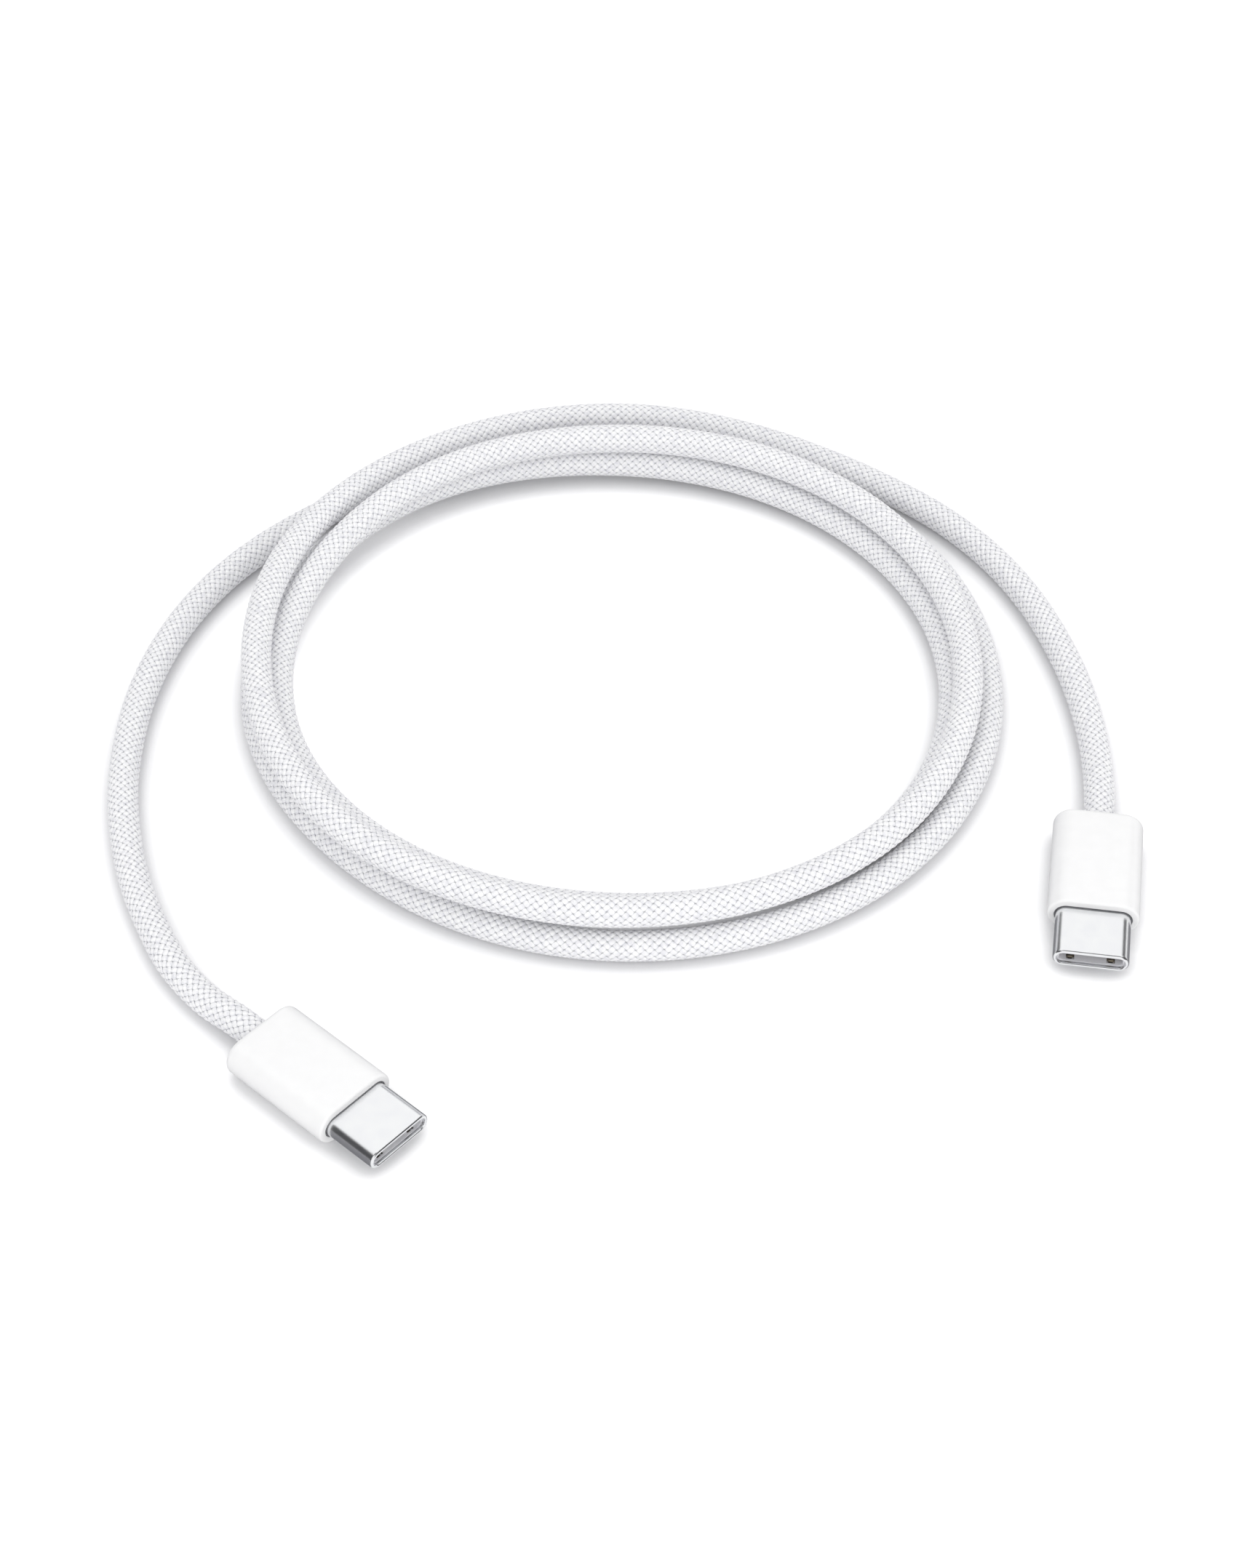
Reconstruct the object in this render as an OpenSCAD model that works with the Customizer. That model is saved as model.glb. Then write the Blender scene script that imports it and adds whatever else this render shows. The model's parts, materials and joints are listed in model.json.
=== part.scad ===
// Charging cable: a woven cable about a metre long, laid in a coil of three
// turns, with the same flat reversible plug on each end.
// Every plug is modelled upright, nose along +Z, width along X and thickness
// along Y, with Z zero on the front face of its sleeve. It is then laid flat.

/* [Cable] */
// Outside diameter of the woven cable
cord_d = 3.5; // [3.3:0.1:3.5]
// Diameter of the shielded core under the weave, inside the plugs
core_d = 2.2; // [2:0.1:2.2]
// Depth of the flat where the cable lies on the table
cord_flat = 0.35; // [0.3:0.01:0.4]

/* [Coil] */
// Mean radius of the loops
coil_r = 41.9; // [41:0.1:43]
// Middle of the loops, across
coil_x = -8.6; // [-9.5:0.1:-8]
// Middle of the loops, front to back
coil_y = 48.9; // [48:0.1:50]
// Rings of facets in one turn of the coil
rings_per_turn = 24; // [24:4:32]

/* [Plug places] */
// Left plug, middle of its front face, across
left_x = -36.1; // [-38:0.1:-35]
// Left plug, middle of its front face, front to back
left_y = -17.2; // [-19:0.1:-16]
// Direction that the left plug points in, in degrees
left_heading = -42; // [-50:1:-36]
// Right plug, middle of its front face, across
right_x = 43.0; // [42:0.1:45]
// Right plug, middle of its front face, front to back
right_y = 9.5; // [8:0.1:11]
// Direction that the right plug points in, in degrees
right_heading = -98.5; // [-104:0.25:-92]

/* [Sleeve] */
// How far the plug's outer sleeve stands out beyond the shell at each side
sleeve_side = 0.925; // [0.85:0.025:1.4]
// How far the sleeve stands out above and below the shell
sleeve_over = 1.05; // [1:0.05:1.3]
// Length of the sleeve
sleeve_l = 14.5; // [14.5:0.1:17]
// Wall of the sleeve
sleeve_wall = 0.55; // [0.4:0.05:0.6]
// Wall of the sleeve's closed rear end
rear_wall = 1.6; // [1.2:0.1:1.6]
// Rounding of the sleeve's front rim, outside
front_round = 0.3; // [0.1:0.05:0.4]
// Rounding of the sleeve's rear edge
rear_round = 0.7; // [0.3:0.05:0.9]

/* [Shell] */
// Width of the plug's metal shell
shell_w = 8.25; // [8.2:0.01:8.3]
// Thickness of the shell
shell_h = 2.4; // [2.36:0.01:2.44]
// Length of the shell that stands out of the sleeve
shell_out = 6.5; // [6.4:0.05:6.9]
// Length of the shell inside the sleeve
shell_in = 4.2; // [3.9:0.1:4.4]
// Sheet of the drawn shell
shell_wall = 0.25; // [0.2:0.01:0.27]
// Wall of the lip that is turned in at the mouth
lip_wall = 0.45; // [0.35:0.01:0.5]
// Depth of the lip
lip_depth = 0.4; // [0.3:0.05:0.45]
// Rounding of the shell's nose, outside
nose_round = 0.3; // [0.1:0.05:0.35]
// Rounding of the lip, inside
lip_round = 0.15; // [0.05:0.05:0.2]

/* [Insulator] */
// Height of the slot that takes the socket's tongue
slot_h = 0.86; // [0.8:0.02:0.9]
// Wall beside the slot
slot_side = 0.425; // [0.4:0.005:0.45]
// Where the slot ends, in front of the sleeve's face
slot_floor = 0.6; // [0.5:0.05:0.9]
// How far the wider front of the slot steps out above and below it
mouth_step = 0.25; // [0.2:0.01:0.26]
// Depth of the wider front of the slot
mouth_depth = 1.75; // [1.5:0.05:1.9]
// Where the insulator ends, behind the sleeve's face
insulator_in = 3.6; // [3.3:0.1:3.7]

/* [Contacts] */
// From the slot's side to the outermost contact place
contact_margin = 0.7; // [0.65:0.05:0.75]
// Width of a contact
contact_w = 0.22; // [0.18:0.01:0.24]
// Sheet of a contact
contact_t = 0.15; // [0.12:0.01:0.16]
// Height of a contact's root over the slot's roof
root_rise = 0.065; // [0.06:0.005:0.075]
// How far the middle of a contact's bump dips below the slot's roof
bump_dip = 0.09; // [0.07:0.01:0.11]
// Radius of the bump
bump_r = 0.12; // [0.1:0.01:0.13]
// Length of a contact beam, root to bump
beam_l = 3.5; // [3.3:0.05:3.7]
// Length of the turned-up tip, past the bump
tip_l = 0.5; // [0.3:0.05:0.6]
// Where the beams start, in front of the sleeve's face
beam_z = 0.28; // [0.26:0.01:0.3]

/* [Latches] */
// Sheet of a latch arm
latch_t = 0.22; // [0.18:0.01:0.24]
// Height of a latch arm
latch_h = 0.5; // [0.4:0.01:0.54]
// Distance of an arm's root from the outside of the shell
latch_side = 0.575; // [0.56:0.005:0.6]
// How far an arm leans in at its tip
latch_lean = 0.25; // [0.2:0.01:0.3]
// How far a hook's nose reaches into the slot
hook_reach = 0.4; // [0.35:0.01:0.42]
// Where the arms start, behind the sleeve's face
latch_in = 0.33; // [0.3:0.01:0.36]
// Where the arms end, in front of the sleeve's face
latch_out = 5.0; // [4.8:0.05:5]

/* [Ground springs] */
// Distance of a spring finger from the slot's side
finger_in = 1.25; // [1:0.05:1.4]
// Width of a spring finger
finger_w = 0.5; // [0.4:0.05:0.6]
// Sheet of the spring
spring_t = 0.1; // [0.08:0.01:0.11]

/* [Board] */
// Room beside the circuit board, inside the shell
board_side = 0.375; // [0.3:0.025:0.5]
// Diameter of a wire
wire_d = 0.45; // [0.35:0.01:0.46]

/* [Shield cans] */
// Sheet of the two shield cans
can_wall = 0.15; // [0.12:0.01:0.16]
// Where the cans start, behind the sleeve's face
can_front = 3.0; // [2.8:0.1:3.2]
// Length of the cans' neck, round the core
neck_l = 2.35; // [2.2:0.05:2.6]

/* [Hidden] */
$fn = 64;

// Clearances between the pieces
clear = 0.03;
slip = 0.05;
bore_clear = 0.1;
solder = 0.02;
past = 0.5;

// Places of the contacts that a charging cable has, in pitches off the middle
UPPER_PLACES = [-5.5, -2.5, -1.5, -0.5, 0.5, 2.5, 5.5];
LOWER_PLACES = [-5.5, -2.5, 1.5, 2.5, 5.5];

// Sections: every stadium of one group has the same flat, so walls are even
sleeve_w = shell_w + 2 * sleeve_side;
sleeve_h = shell_h + 2 * sleeve_over;
sleeve_flat = sleeve_w - sleeve_h;
cavity_h = sleeve_h - 2 * sleeve_wall;
mould_h = cavity_h - 2 * clear;
shell_flat = shell_w - shell_h;
shell_inner_h = shell_h - 2 * shell_wall;
lip_h = shell_h - 2 * lip_wall;
can_inner_h = shell_h + 2 * clear;
can_outer_h = can_inner_h + 2 * can_wall;
can_room_h = can_outer_h + 2 * clear;
insulator_h = shell_inner_h - 2 * clear;
slot_w = shell_w - 2 * (shell_wall + slot_side);
mouth_h = slot_h + 2 * mouth_step;
bush_flat = sleeve_flat / 3;

// Places along the plug, from the nose back
insulator_front = shell_out - lip_depth - slip;
mould_front = -0.15;
mould_rear = -(sleeve_l - rear_wall - 0.5);
cavity_rear = -(sleeve_l - rear_wall);
bush_end = -(sleeve_l - 1.12);
cord_end = sleeve_l - 1.1;
neck_end = -mould_rear - 0.5;
can_rear = neck_end - neck_l;
board_front = -(insulator_in + 0.15);
board_rear = -(can_rear - can_wall - 0.4);
board_w = shell_w - 2 * (shell_wall + board_side);
wire_front = board_rear + 1.0;
core_front = board_rear - 1.0;

// Neck, ferrule and strain bush round the core
ferrule_r = core_d / 2 + 0.01;
ferrule_wall = 0.09;
neck_r = ferrule_r + ferrule_wall + 0.02;
neck_wall = 0.12;
core_hole_r = core_d / 2 + 0.02;

// Contact places and grooves, latch channels and the room for the latch plate
contact_pitch = (slot_w / 2 - contact_margin) / 5.5;
root_y = slot_h / 2 + root_rise;
bump_y = slot_h / 2 - bump_dip;
board_t = 2 * (root_y - contact_t / 2 - solder);
groove_w = contact_w + 0.1;
groove_top = insulator_h / 2 - spring_t - 0.02;
groove_front = beam_z + beam_l + tip_l + 0.62;
groove_floor = root_y - contact_t / 2 - 0.04;
tail_slot_w = contact_w + 2 * clear;
tail_slot_t = contact_t + 2 * clear;
tail_rear = board_front - 1.45;
latch_root_x = shell_w / 2 - latch_side;
hook_x = slot_w / 2 - hook_reach;
channel_h = latch_h + 2 * slip;
channel_in = hook_x - 0.1;
channel_front = latch_out + 0.2;
plate_t = 0.3;
plate_w = 2 * latch_root_x + latch_t;
plate_rear = -(insulator_in - 0.1);
plate_leg = 0.54;
plate_front = -(latch_in + clear);

// Ground springs: a strip under the shell's roof with two fingers
strip_w = slot_w - 0.7;
finger_x = slot_w / 2 - finger_in;
strip_rear = groove_front + 0.1;
strip_front = insulator_front - 0.15;
strip_y = insulator_h / 2 - spring_t;
recess_y = strip_y - 0.02;
finger_z = strip_rear + 0.05;
finger_l = 0.62;
finger_slope = 24;
dimple_r = 0.14;
window_w = finger_w + 0.4;
window_rear = finger_z - 0.02;
window_front = strip_front - 0.1;
slit_rear = finger_z + 0.17;

// How the cable lies. Each row is one place an eighth of a turn further
// round: how far it is outside the mean radius, and how far it is lifted.
// The first turn lies on the table, the second beside it and up on it, and
// the third rides on both. The first and the last row only steer the ends.
LAY_STEP = 1 / 8;
LAY = [
    [16.0, 0],
    [4.6, 0], [0.5, 0], [0.7, 0.2], [1.3, 0],
    [2.1, 0.2], [1.2, 0], [0.5, 0], [1.5, 0.2],
    [-1.1, 1.7], [-3.5, 1.0], [-3.6, 0.4], [-2.8, 0.3],
    [-1.9, 0.8], [-2.0, 2.6], [-0.7, 3.9], [-1.6, 3.4],
    [-3.4, 5.8], [-3.5, 5.1], [-2.5, 4.5], [-1.5, 4.4],
    [0.15, 4.5], [0.9, 5.5], [1.95, 6.85], [0.8, 7.3],
    [1.9, 4.9], [3.0, 3.3], [6.0, 0],
    [11.2, 3.3]
];
lay_last = len(LAY) - 3;
rest_z = cord_d / 2 - cord_flat;
rings_per_place = rings_per_turn * LAY_STEP;
coil_rings = round(lay_last * rings_per_place);
straight = cord_d;
run_out = 0.85 * cord_d;

// Free stretches: points on the table between each plug and the coil
LEFT_RUN = [
    [-53.0, -2.0], [-57.0, 2.9], [-60.2, 9.1], [-62.8, 15.7], [-64.6, 22.7],
    [-65.7, 29.9], [-65.9, 37.1], [-65.4, 44.3], [-64.0, 51.4], [-61.3, 59.2],
    [-57.3, 66.5], [-52.4, 72.6], [-47.0, 77.6]
];
RIGHT_RUN = [
    [46.1, 33.2], [46.0, 39.6], [45.2, 46.8], [43.4, 54.9], [40.5, 63.2],
    [36.6, 70.5], [31.3, 77.3]
];

SIDES = ["left", "right"];
PIECES = [
    "sleeve", "mould", "shell", "insulator", "upper_spring", "lower_spring",
    "latch_plate", "latch_a", "latch_b", "upper_contacts", "upper_tails",
    "lower_contacts", "lower_tails", "board", "capacitor", "wires",
    "upper_can", "lower_can", "ferrule", "core", "strain_bush"
];

// ---------- Shapes ----------

// A flat oval with round ends
module stadium(w, h) {
    square([w - h, h], center = true);
    for (s = [-1, 1]) translate([s * (w - h) / 2, 0]) circle(d = h);
}

// A stadium with the given flat between its round ends, as a bar along Z
module bar(flat, h, z0, z1) {
    translate([0, 0, z0]) linear_extrude(z1 - z0) stadium(flat + h, h);
}

// Half of a bar's long section, with its corners rounded at both ends
module half_section(r, z0, z1, r0, r1) {
    translate([0, z0 + r0]) square([r, z1 - z0 - r0 - r1]);
    if (r0 > 0) {
        translate([0, z0]) square([r - r0, r0]);
        intersection() {
            translate([r - r0, z0 + r0]) circle(r0);
            translate([r - r0, z0]) square([r0, r0]);
        }
    }
    if (r1 > 0) {
        translate([0, z1 - r1]) square([r - r1, r1]);
        intersection() {
            translate([r - r1, z1 - r1]) circle(r1);
            translate([r - r1, z1 - r1]) square([r1, r1]);
        }
    }
}

// A bar whose end edges are rounded all round: two half turns and a slab
module round_bar(flat, h, z0, z1, r0, r1) {
    for (s = [0, 180]) rotate([0, 0, s]) translate([flat / 2, 0, 0])
        rotate([0, 0, -90]) rotate_extrude(angle = 180) half_section(h / 2, z0, z1, r0, r1);
    rotate([90, 0, 90]) translate([0, 0, -flat / 2]) linear_extrude(flat) {
        half_section(h / 2, z0, z1, r0, r1);
        mirror([1, 0]) half_section(h / 2, z0, z1, r0, r1);
    }
}

// Half of a mouth's long section: a bore that opens out in a round
module half_mouth(r, z0, z1, lip) {
    translate([0, z0]) square([r, z1 - z0]);
    difference() {
        translate([r, z1 - lip]) square([lip, lip]);
        translate([r + lip, z1 - lip]) circle(lip);
    }
}

// A stadium opening whose front edge is rounded all round
module round_mouth(flat, h, z0, z1, lip) {
    for (s = [0, 180]) rotate([0, 0, s]) translate([flat / 2, 0, 0])
        rotate([0, 0, -90]) rotate_extrude(angle = 180) half_mouth(h / 2, z0, z1, lip);
    rotate([90, 0, 90]) translate([0, 0, -flat / 2]) linear_extrude(flat) {
        half_mouth(h / 2, z0, z1, lip);
        mirror([1, 0]) half_mouth(h / 2, z0, z1, lip);
    }
}

// A block across the plug, centred on X
module block(w, y0, y1, z0, z1) {
    translate([-w / 2, y0, z0]) cube([w, y1 - y0, z1 - z0]);
}

module tube(r, wall, z0, z1) {
    translate([0, 0, z0]) difference() {
        cylinder(r = r + wall, h = z1 - z0);
        translate([0, 0, -past]) cylinder(r = r, h = z1 - z0 + 2 * past);
    }
}

// Lays an upright plug on the table at its place, pointing in its heading
module lay_plug(side) {
    translate([side == "left" ? left_x : right_x, side == "left" ? left_y : right_y, sleeve_h / 2])
        rotate([0, 0, (side == "left" ? left_heading : right_heading) + 90])
            rotate([90, 0, 0]) children();
}

// ---------- Pieces of a plug ----------

// Outer sleeve: a moulded cup with a hole for the cable in its rear end
module sleeve() {
    color("white") difference() {
        round_bar(sleeve_flat, sleeve_h, -sleeve_l, 0, rear_round, front_round);
        bar(sleeve_flat, cavity_h, cavity_rear, past);
        translate([0, 0, -sleeve_l - past]) cylinder(d = cord_d + 2 * bore_clear, h = rear_wall + 2 * past);
    }
}

// Inner mould: fills the sleeve round the shell and the cans
module mould() {
    color("whitesmoke") difference() {
        bar(sleeve_flat, mould_h, mould_rear, mould_front);
        bar(shell_flat, can_inner_h, -can_front, past);
        bar(shell_flat, can_room_h, -can_rear - slip, -can_front + slip);
        translate([0, 0, mould_rear - past])
            cylinder(r = neck_r + neck_wall + clear, h = past - mould_rear - can_front);
    }
}

// Metal shell: a drawn tube with its front edge turned in
module shell() {
    color("silver") difference() {
        round_bar(shell_flat, shell_h, -shell_in, shell_out, 0, nose_round);
        bar(shell_flat, shell_inner_h, -shell_in - past, shell_out - lip_depth);
        round_mouth(shell_flat, lip_h, shell_out - lip_depth - slip, shell_out, lip_round);
    }
}

// One row's grooves for the beams and slots for the tails
module contact_rooms(places) {
    for (p = places) translate([p * contact_pitch, 0, 0]) {
        block(groove_w, groove_floor, groove_top, beam_z - 0.04, groove_front);
        block(tail_slot_w, root_y - tail_slot_t / 2, root_y + tail_slot_t / 2, -insulator_in - past, beam_z);
    }
}

// Window and recess for one ground spring
module spring_room() {
    block(strip_w + 2 * slip, recess_y, insulator_h, strip_rear - slip, strip_front + slip);
    for (s = [-1, 1]) translate([s * finger_x, 0, 0])
        block(window_w, mouth_h / 2 - slip, insulator_h, window_rear, window_front);
}

// Moulded block that carries the contacts, open for the socket's tongue
module insulator() {
    color("gainsboro") difference() {
        bar(shell_flat, insulator_h, -insulator_in, insulator_front);
        block(slot_w, -slot_h / 2, slot_h / 2, slot_floor, insulator_front + past);
        bar(slot_w - mouth_h, mouth_h, insulator_front - mouth_depth, insulator_front + past);
        contact_rooms(UPPER_PLACES);
        mirror([0, 1, 0]) contact_rooms(LOWER_PLACES);
        for (s = [-1, 1]) translate([s * (channel_in + 1), 0, 0])
            block(2, -channel_h / 2, channel_h / 2, -latch_in - 0.07, channel_front);
        block(plate_w + 2 * slip, -plate_t / 2 - solder, plate_t / 2 + solder, -insulator_in - past, -latch_in);
        spring_room();
        mirror([0, 1, 0]) spring_room();
    }
}

// Ground spring: a strip with two fingers that dip into the mouth
module ground_spring() {
    color("goldenrod") {
        difference() {
            block(strip_w, strip_y, strip_y + spring_t, strip_rear, strip_front);
            for (s = [-1, 1]) translate([s * finger_x, 0, 0])
                block(window_w, 0, insulator_h, slit_rear, window_front);
        }
        for (s = [-1, 1]) translate([s * finger_x, strip_y + spring_t, finger_z])
            rotate([finger_slope, 0, 0]) {
                block(finger_w, -spring_t, 0, 0, finger_l);
                translate([-finger_w / 2, -dimple_r, finger_l - dimple_r])
                    rotate([0, 90, 0]) cylinder(r = dimple_r, h = finger_w);
            }
    }
}

// Latch plate: the fixed sheet in the middle, with a leg to each arm
module latch_plate() {
    color("lightsteelblue") {
        block(plate_w, -plate_t / 2, plate_t / 2, plate_rear, plate_front - plate_leg);
        for (s = [-1, 1]) translate([s * latch_root_x, 0, 0])
            block(latch_t, -plate_t / 2, plate_t / 2, plate_front - plate_leg - slip, plate_front);
    }
}

// Latch arm: leans in to a hook that catches the socket's tongue
module latch_arm() {
    tip_x = latch_root_x - latch_lean;
    color("silver") translate([0, latch_h / 2, 0]) rotate([90, 0, 0]) linear_extrude(latch_h) polygon([
        [latch_root_x + latch_t / 2, -latch_in],
        [latch_root_x - latch_t / 2, -latch_in],
        [tip_x - latch_t / 2, latch_out - 0.9],
        [hook_x, latch_out - 0.55],
        [hook_x, latch_out - 0.4],
        [tip_x - latch_t / 2 + 0.03, latch_out],
        [tip_x + latch_t / 2, latch_out]
    ]);
}

// One row of contact beams, each with a bump and a turned-up tip
module contact_row(places) {
    dip = atan((root_y - bump_y) / beam_l);
    color("gold") for (p = places) translate([p * contact_pitch, root_y, beam_z]) rotate([dip, 0, 0]) {
        block(contact_w, -contact_t / 2, contact_t / 2, 0, beam_l);
        translate([-contact_w / 2, 0, beam_l]) rotate([0, 90, 0]) cylinder(r = bump_r, h = contact_w);
        translate([0, 0, beam_l]) rotate([-12, 0, 0])
            block(contact_w, -contact_t / 2 + 0.02, contact_t / 2 - 0.02, 0, tip_l);
    }
}

// One row of contact tails, from the beams' roots back onto the board
module contact_tails(places) {
    color("gold") for (p = places) translate([p * contact_pitch, 0, 0])
        block(contact_w, root_y - contact_t / 2, root_y + contact_t / 2, tail_rear, beam_z - 2 * clear);
}

// Circuit board, with its front corners cut off
module board() {
    color("seagreen") rotate([90, 0, 0]) translate([0, 0, -board_t / 2]) linear_extrude(board_t) polygon([
        [-board_w / 2, board_rear], [board_w / 2, board_rear],
        [board_w / 2, board_front - 0.4], [board_w / 2 - 0.4, board_front],
        [-board_w / 2 + 0.4, board_front], [-board_w / 2, board_front - 0.4]
    ]);
}

// Capacitor across the supply, with its two metal ends
module capacitor() {
    color("tan") translate([2.2, board_t / 2 + solder, board_rear + 1.4]) {
        block(0.46, 0.02, 0.48, 0, 1.0);
        block(0.5, 0, 0.5, -0.02, 0.22);
        block(0.5, 0, 0.5, 0.78, 1.02);
    }
}

// Five insulated wires from the board into the core
module wires() {
    wire_y = board_t / 2 + wire_d / 2 + solder;
    for (w = [[-0.55, 1, "red"], [0, 1, "white"], [0.55, 1, "green"], [-0.35, -1, "black"], [0.35, -1, "blue"]])
        color(w[2]) translate([w[0], w[1] * wire_y, core_front + solder])
            cylinder(d = wire_d, h = wire_front - core_front - solder);
}

// Both shield cans as one: wide over the board, with a neck over the core
module both_cans() {
    difference() {
        union() {
            bar(shell_flat, can_outer_h, -can_rear, -can_front);
            translate([0, 0, -neck_end]) cylinder(r = neck_r + neck_wall, h = neck_end - can_rear + can_wall);
        }
        bar(shell_flat, can_inner_h, -can_rear + can_wall, past);
        translate([0, 0, -neck_end - past]) cylinder(r = neck_r, h = neck_end);
    }
}

// Half of the cans, on one side of the joint between them
module shield_can() {
    color("lightgray") intersection() {
        both_cans();
        block(2 * sleeve_w, solder, sleeve_h, -sleeve_l, 0);
    }
}

// Crimped ring round the core
module ferrule() {
    color("peru") tube(ferrule_r, ferrule_wall, -neck_end + 0.1, core_front - 0.2);
}

// Shielded core of the cable, where the weave and jacket are cut back
module core() {
    color("dimgray") translate([0, 0, -cord_end]) cylinder(d = core_d, h = cord_end + core_front);
}

// Soft bush: a flange inside the sleeve and a spigot in its rear hole
module strain_bush() {
    color("lightgray") difference() {
        union() {
            bar(bush_flat, mould_h - 0.04, cavity_rear + slip, mould_rear - slip);
            translate([0, 0, bush_end]) cylinder(d = cord_d + 0.06, h = cavity_rear + slip - bush_end);
        }
        translate([0, 0, bush_end - past]) cylinder(r = core_hole_r, h = rear_wall + 2 * past);
    }
}

// ---------- Cable ----------

// Cubic through four even places, between the second and the third
function cubic(a, b, c, d, u) =
    0.5 * (2 * b + (c - a) * u + (2 * a - 5 * b + 4 * c - d) * u * u + (3 * b - a - 3 * c + d) * u * u * u);

// How the cable lies at a place between the rows
function lay_at(x) =
    let (i = min(max(floor(x), 0), lay_last - 1))
    cubic(LAY[i], LAY[i + 1], LAY[i + 2], LAY[i + 3], x - i);

// Middle of the cable at a place along the coil, clockwise from above
function coil_point(x) =
    let (lay = lay_at(x), r = coil_r + lay[0], a = 180 - 360 * LAY_STEP * (x + 1))
    [coil_x + r * cos(a), coil_y + r * sin(a), rest_z + lay[1]];

function unit(v) = v / norm(v);
function coil_way(x) = unit(coil_point(x + 0.01) - coil_point(x - 0.01));

coil_start = coil_point(0) - straight * coil_way(0);
coil_finish = coil_point(lay_last) + straight * coil_way(lay_last);

coil_path = concat(
    [coil_start],
    [for (i = [0:coil_rings]) coil_point(i / rings_per_place)],
    [coil_finish]
);

// A point on a plug's axis, a given way behind the sleeve's front face
function behind(x, y, heading, way) = [x - way * cos(heading), y - way * sin(heading), sleeve_h / 2];

// From a plug's bush to the coil: straight out, down to the table and along
function run_path(x, y, heading, points, finish) = concat(
    [behind(x, y, heading, cord_end + solder)],
    [behind(x, y, heading, sleeve_l)],
    [behind(x, y, heading, sleeve_l + run_out)],
    [for (p = points) [p[0], p[1], rest_z]],
    [finish]
);

left_path = run_path(left_x, left_y, left_heading, LEFT_RUN, coil_start - solder * coil_way(0));
right_path = run_path(right_x, right_y, right_heading, RIGHT_RUN, coil_finish + solder * coil_way(lay_last));

// Direction of a path at one of its points; its ends follow what they meet
function way_at(path, i, first, last) =
    i == 0 ? first : i == len(path) - 1 ? last : unit(unit(path[i + 1] - path[i]) + unit(path[i] - path[i - 1]));

// A ring of corners round a point, level with the table and cut flat on it
function ring(p, way, sides) =
    let (across = unit(cross(way, [0, 0, 1])), up = cross(across, way))
    [for (k = [0:sides - 1])
        let (a = 360 * k / sides + 90)
        let (q = p + cord_d / 2 * (cos(a) * across + sin(a) * up))
        [q[0], q[1], max(q[2], 0)]];

// One unbroken tube along a path, as triangles
module cord_tube(path, sides, first, last) {
    n = len(path);
    corners = [for (i = [0:n - 1]) each ring(path[i], way_at(path, i, first, last), sides)];
    skin = [for (i = [0:n - 2]) for (k = [0:sides - 1])
        let (a = i * sides + k, b = i * sides + (k + 1) % sides)
        each [[a, b, b + sides], [a, b + sides, a + sides]]];
    start = [for (k = [1:sides - 2]) [0, k + 1, k]];
    end = [for (k = [1:sides - 2]) (n - 1) * sides * [1, 1, 1] + [0, k, k + 1]];
    color("snow") polyhedron(concat(corners), concat(skin, start, end));
}

module cable_left_run() {
    cord_tube(left_path, 8, [-cos(left_heading), -sin(left_heading), 0], coil_way(0));
}

module cable_right_run() {
    cord_tube(right_path, 8, [-cos(right_heading), -sin(right_heading), 0], -coil_way(lay_last));
}

module cable_coil() {
    cord_tube(coil_path, 6, coil_way(0), coil_way(lay_last));
}

// Least gap of the coil to itself, on points twelve to a place
fine = [for (i = [0:12 * lay_last]) coil_point(i / 12)];
least_gap = min([for (i = [0:len(fine) - 1]) for (j = [i + 60:len(fine) - 1]) norm(fine[j] - fine[i])]) - cord_d;
function path_length(path) = len(path) < 2 ? 0 :
    [for (i = 0, s = 0; i < len(path); i = i + 1, s = s + (i < len(path) ? norm(path[i] - path[i - 1]) : 0)) s][len(path) - 1];
cable_length = path_length(left_path) + path_length(fine) + path_length(right_path) + 2 * straight;
echo(least_gap_mm = least_gap, cable_length_mm = cable_length);

// ---------- Nodes ----------

module plug_piece(piece) {
    if (piece == "sleeve") sleeve();
    if (piece == "mould") mould();
    if (piece == "shell") shell();
    if (piece == "insulator") insulator();
    if (piece == "upper_spring") ground_spring();
    if (piece == "lower_spring") rotate([0, 0, 180]) ground_spring();
    if (piece == "latch_plate") latch_plate();
    if (piece == "latch_a") latch_arm();
    if (piece == "latch_b") rotate([0, 0, 180]) latch_arm();
    if (piece == "upper_contacts") contact_row(UPPER_PLACES);
    if (piece == "upper_tails") contact_tails(UPPER_PLACES);
    if (piece == "lower_contacts") mirror([0, 1, 0]) contact_row(LOWER_PLACES);
    if (piece == "lower_tails") mirror([0, 1, 0]) contact_tails(LOWER_PLACES);
    if (piece == "board") board();
    if (piece == "capacitor") capacitor();
    if (piece == "wires") wires();
    if (piece == "upper_can") shield_can();
    if (piece == "lower_can") rotate([0, 0, 180]) shield_can();
    if (piece == "ferrule") ferrule();
    if (piece == "core") core();
    if (piece == "strain_bush") strain_bush();
}

for (side = SIDES) for (piece = PIECES)
    lay_plug(side) plug_piece(piece);

cable_left_run();
cable_coil();
cable_right_run();
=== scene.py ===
"""Charging cable: a woven cable about a metre long in a coil of three turns, with the same flat
plug on each end.

Sizes are in millimetres until a mesh is made, and MM turns them into metres. A plug is made
upright in its own frame, with X across its width, Y through its thickness, and Z along to its
nose from zero on the sleeve's front face.
"""

import json
import math

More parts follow.
